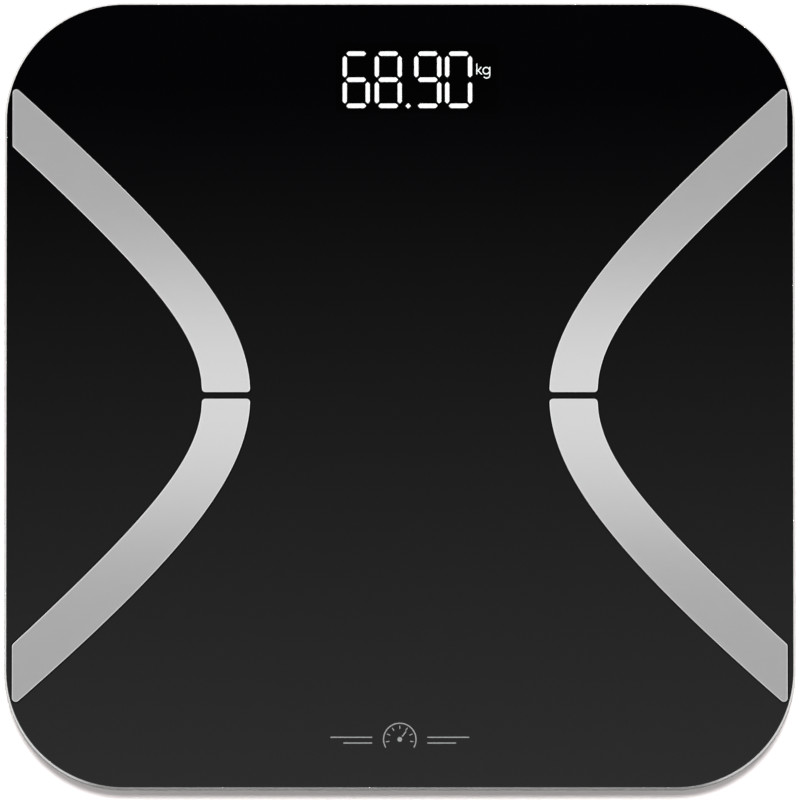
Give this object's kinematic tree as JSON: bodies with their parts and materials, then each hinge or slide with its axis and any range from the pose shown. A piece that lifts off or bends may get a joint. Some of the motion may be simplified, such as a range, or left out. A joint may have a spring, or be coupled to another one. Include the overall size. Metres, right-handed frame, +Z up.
{
  "type": "digital bathroom scale",
  "caption": "Flat square bathroom scale: black tempered-glass platform with curved steel electrodes, lit digits under the glass, moulded base with a battery door and rubber feet.",
  "frame": {"origin": "on the floor, under the middle of the platform", "axes": "+Z up, +Y to the rear where the display is, +X to the right of a person reading the display"},
  "size_m": [0.302, 0.302, 0.026],
  "materials": {
    "black_glass": "tempered, printed black from below, gloss, clear ground edge",
    "satin_steel": "stainless, satin",
    "moulded_plastic": "black, fine moulded texture",
    "grey_plastic": "dark grey, moulded",
    "foam_tape": "black foam, matt",
    "soft_rubber": "dark, matt, non-slip",
    "spring_steel": "nickel plated",
    "zinc_steel": "zinc plated",
    "circuit_board": "green solder resist",
    "chip_plastic": "black, fine",
    "display_mask": "black, matt",
    "lit_diffuser": "milky white, lit from behind",
    "battery_sleeve": "printed film sleeve, plain, with steel ends",
    "red_sleeve": "insulation",
    "black_sleeve": "insulation",
    "grey_sleeve": "insulation"
  },
  "bodies": {
    "chassis": {"glass_platform": "black_glass", "electrode_front_left": "satin_steel", "load_cell_front_left": "spring_steel", "load_cell_bracket_front_left": "grey_plastic", "cover_screw_front_left": "zinc_steel", "load_cell_lead_front_left": "grey_sleeve", "electrode_lead_front_left": "grey_sleeve", "electrode_front_right": "satin_steel", "load_cell_front_right": "spring_steel", "load_cell_bracket_front_right": "grey_plastic", "cover_screw_front_right": "zinc_steel", "load_cell_lead_front_right": "grey_sleeve", "electrode_lead_front_right": "grey_sleeve", "electrode_rear_left": "satin_steel", "load_cell_rear_left": "spring_steel", "load_cell_bracket_rear_left": "grey_plastic", "cover_screw_rear_left": "zinc_steel", "load_cell_lead_rear_left": "grey_sleeve", "electrode_lead_rear_left": "grey_sleeve", "electrode_rear_right": "satin_steel", "load_cell_rear_right": "spring_steel", "load_cell_bracket_rear_right": "grey_plastic", "cover_screw_rear_right": "zinc_steel", "load_cell_lead_rear_right": "grey_sleeve", "electrode_lead_rear_right": "grey_sleeve", "perimeter_tape": "foam_tape", "base_cover": "moulded_plastic", "main_board": "circuit_board", "board_screw_left": "zinc_steel", "board_screw_right": "zinc_steel", "controller_chip": "chip_plastic", "display_housing": "display_mask", "display_diffuser": "lit_diffuser", "tact_switch": "zinc_steel", "battery_1": "battery_sleeve", "battery_2": "battery_sleeve", "battery_3": "battery_sleeve", "battery_4": "battery_sleeve", "contact_negative": "spring_steel", "contact_positive": "spring_steel", "contact_bridge_left": "spring_steel", "contact_bridge_right_front": "spring_steel", "contact_bridge_right_rear": "spring_steel", "battery_lead_black": "black_sleeve", "battery_lead_red": "red_sleeve"},
    "front_left_foot": {"foot_front_left": "moulded_plastic", "foot_pad_front_left": "soft_rubber"},
    "front_right_foot": {"foot_front_right": "moulded_plastic", "foot_pad_front_right": "soft_rubber"},
    "rear_left_foot": {"foot_rear_left": "moulded_plastic", "foot_pad_rear_left": "soft_rubber"},
    "rear_right_foot": {"foot_rear_right": "moulded_plastic", "foot_pad_rear_right": "soft_rubber"},
    "door": {"battery_door": "moulded_plastic"},
    "button": {"unit_button": "grey_plastic", "switch_plunger": "chip_plastic"}
  },
  "joints": [
    {"name": "front_left_foot_press", "type": "slide", "parent": "chassis", "child": "front_left_foot", "axis": [0, 0, 1], "range_m": [0, 0.0005], "stiffness_N_per_m": 8000, "springref_m": -0.0015, "deforming": ["load_cell_front_left"]},
    {"name": "front_right_foot_press", "type": "slide", "parent": "chassis", "child": "front_right_foot", "axis": [0, 0, 1], "range_m": [0, 0.0005], "stiffness_N_per_m": 8000, "springref_m": -0.0015, "deforming": ["load_cell_front_right"]},
    {"name": "rear_left_foot_press", "type": "slide", "parent": "chassis", "child": "rear_left_foot", "axis": [0, 0, 1], "range_m": [0, 0.0005], "stiffness_N_per_m": 8000, "springref_m": -0.0015, "deforming": ["load_cell_rear_left"]},
    {"name": "rear_right_foot_press", "type": "slide", "parent": "chassis", "child": "rear_right_foot", "axis": [0, 0, 1], "range_m": [0, 0.0005], "stiffness_N_per_m": 8000, "springref_m": -0.0015, "deforming": ["load_cell_rear_right"]},
    {"name": "battery_door_swing", "type": "hinge", "parent": "chassis", "child": "door", "pos_m": [0, 0, 0.005], "axis": [-1, 0, 0], "range_deg": [0, 60]},
    {"name": "unit_button_press", "type": "slide", "parent": "chassis", "child": "button", "axis": [0, 0, 1], "range_m": [0, 0.0006], "stiffness_N_per_m": 2500, "springref_m": -0.0002}
  ]
}
